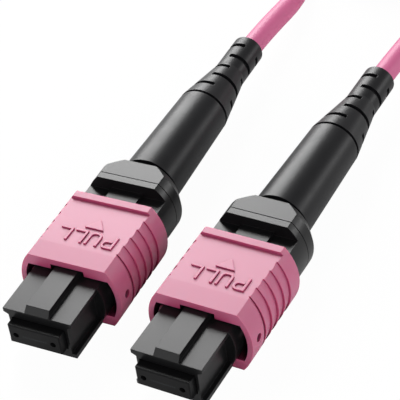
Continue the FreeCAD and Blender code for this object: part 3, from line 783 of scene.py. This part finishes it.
class PATCHCABLE_OT_studio(bpy.types.Operator):
    """Set up the white sweep, the softboxes, the world and the camera"""

    bl_idname = "patchcable.studio"
    bl_label = "Studio"

    # Half the width of the square sweep, in metres.
    sweep = 3.0
    # Each softbox: its name, its place and size in metres, and its power in watts.
    softboxes = [
        ("back_softbox", (-0.27, 0.46, 0.455), (0.24, 0.24), 3.0),
        ("left_softbox", (-0.39, 0.52, 0.25), (0.45, 0.2), 4.7),
        ("side_strip", (0.45, 0.4, 0.12), (0.3, 0.06), 0.8),
        ("left_fill", (-0.42, -0.5, 0.22), (0.35, 0.35), 1.2),
        ("front_fill", (0.45, -0.43, 0.315), (0.35, 0.35), 3.2),
    ]
    # The spot between the plugs that they are aimed at.
    aim = (0.008, 0.0, 0.004)

    def execute(self, context):
        scene = context.scene
        scene.view_settings.view_transform = "Standard"
        mesh = bpy.data.meshes.new("paper_sweep")
        corners = [(x * self.sweep, y * self.sweep, 0) for x, y in ((-1, -1), (1, -1), (1, 1), (-1, 1))]
        mesh.from_pydata(corners, [], [(0, 1, 2, 3)])
        new_piece("paper_sweep", mesh, studio_paper(hex_linear("#f7f7f7")))
        for name, place, size, watts in self.softboxes:
            self.softbox(name, place, size, watts)
        self.world(scene)
        self.camera(scene)
        return {"FINISHED"}

    def softbox(self, name, place, size, watts):
        """A softbox aimed at the plugs, hidden from the camera."""
        lamp = bpy.data.lights.new(name, "AREA")
        lamp.shape = "RECTANGLE"
        lamp.size, lamp.size_y = size
        lamp.energy = watts
        box = bpy.data.objects.new(name, lamp)
        box.location = place
        box.rotation_mode = "QUATERNION"
        box.rotation_quaternion = (Vector(self.aim) - Vector(place)).to_track_quat("-Z", "Y")
        box.visible_camera = False
        bpy.context.scene.collection.objects.link(box)

    def world(self, scene):
        """A dim even room that is white to the camera and pale in reflections."""
        scene.world = bpy.data.worlds.new("studio_room")
        scene.world.use_nodes = True
        tree = scene.world.node_tree
        tree.nodes.clear()
        room = add(tree, "ShaderNodeBackground", {"Color": WHITE, "Strength": 0.06})
        white = add(tree, "ShaderNodeBackground", {"Color": WHITE, "Strength": 1.0})
        share = seen_rays(tree, straight=1.0, mirrored=0.7)
        mix = add(tree, "ShaderNodeMixShader", {0: share, 1: room.outputs[0], 2: white.outputs[0]})
        add(tree, "ShaderNodeOutputWorld", {"Surface": mix.outputs[0]})

    def camera(self, scene):
        """The camera as solved from the photograph: a long lens, above the plugs to their front right."""
        lens = bpy.data.cameras.new("camera")
        lens.sensor_width = 36.0
        lens.lens = 153.0
        lens.clip_start = 0.01
        view = bpy.data.objects.new("camera", lens)
        view.location = (0.0848065, -0.1273918, 0.1290162)
        view.rotation_mode = "QUATERNION"
        view.rotation_quaternion = Quaternion((0.88723285, 0.40122389, 0.14336441, 0.17687257))
        scene.collection.objects.link(view)
        scene.camera = view


OPERATORS = (
    PATCHCABLE_OT_cable, PATCHCABLE_OT_housings, PATCHCABLE_OT_sleeves, PATCHCABLE_OT_boots,
    PATCHCABLE_OT_inner_parts, PATCHCABLE_OT_strap, PATCHCABLE_OT_studio,
)


class PATCHCABLE_PT_panel(bpy.types.Panel):
    """Lists the builder's steps and settings"""

    bl_label = "Patch cable"
    bl_idname = "PATCHCABLE_PT_panel"
    bl_space_type = "VIEW_3D"
    bl_region_type = "UI"
    bl_category = "Patch cable"

    def draw(self, context):
        for group in (context.scene.patch_cable_sizes, context.scene.patch_cable_finish):
            for name in group.__annotations__:
                self.layout.prop(group, name)
        for operator in OPERATORS:
            self.layout.operator(operator.bl_idname)


CLASSES = (PatchCableSizes, PatchCableFinish, *OPERATORS, PATCHCABLE_PT_panel)


def register():
    for cls in CLASSES:
        bpy.utils.register_class(cls)
    bpy.types.Scene.patch_cable_sizes = PointerProperty(type=PatchCableSizes)
    bpy.types.Scene.patch_cable_finish = PointerProperty(type=PatchCableFinish)


def unregister():
    del bpy.types.Scene.patch_cable_finish
    del bpy.types.Scene.patch_cable_sizes
    for cls in reversed(CLASSES):
        bpy.utils.unregister_class(cls)


def main():
    """Builds the whole scene."""
    register()
    bpy.ops.patchcable.cable()
    bpy.ops.patchcable.housings()
    bpy.ops.patchcable.sleeves()
    bpy.ops.patchcable.boots()
    bpy.ops.patchcable.inner_parts()
    bpy.ops.patchcable.strap()
    bpy.ops.patchcable.studio()


if __name__ == "__main__":
    main()
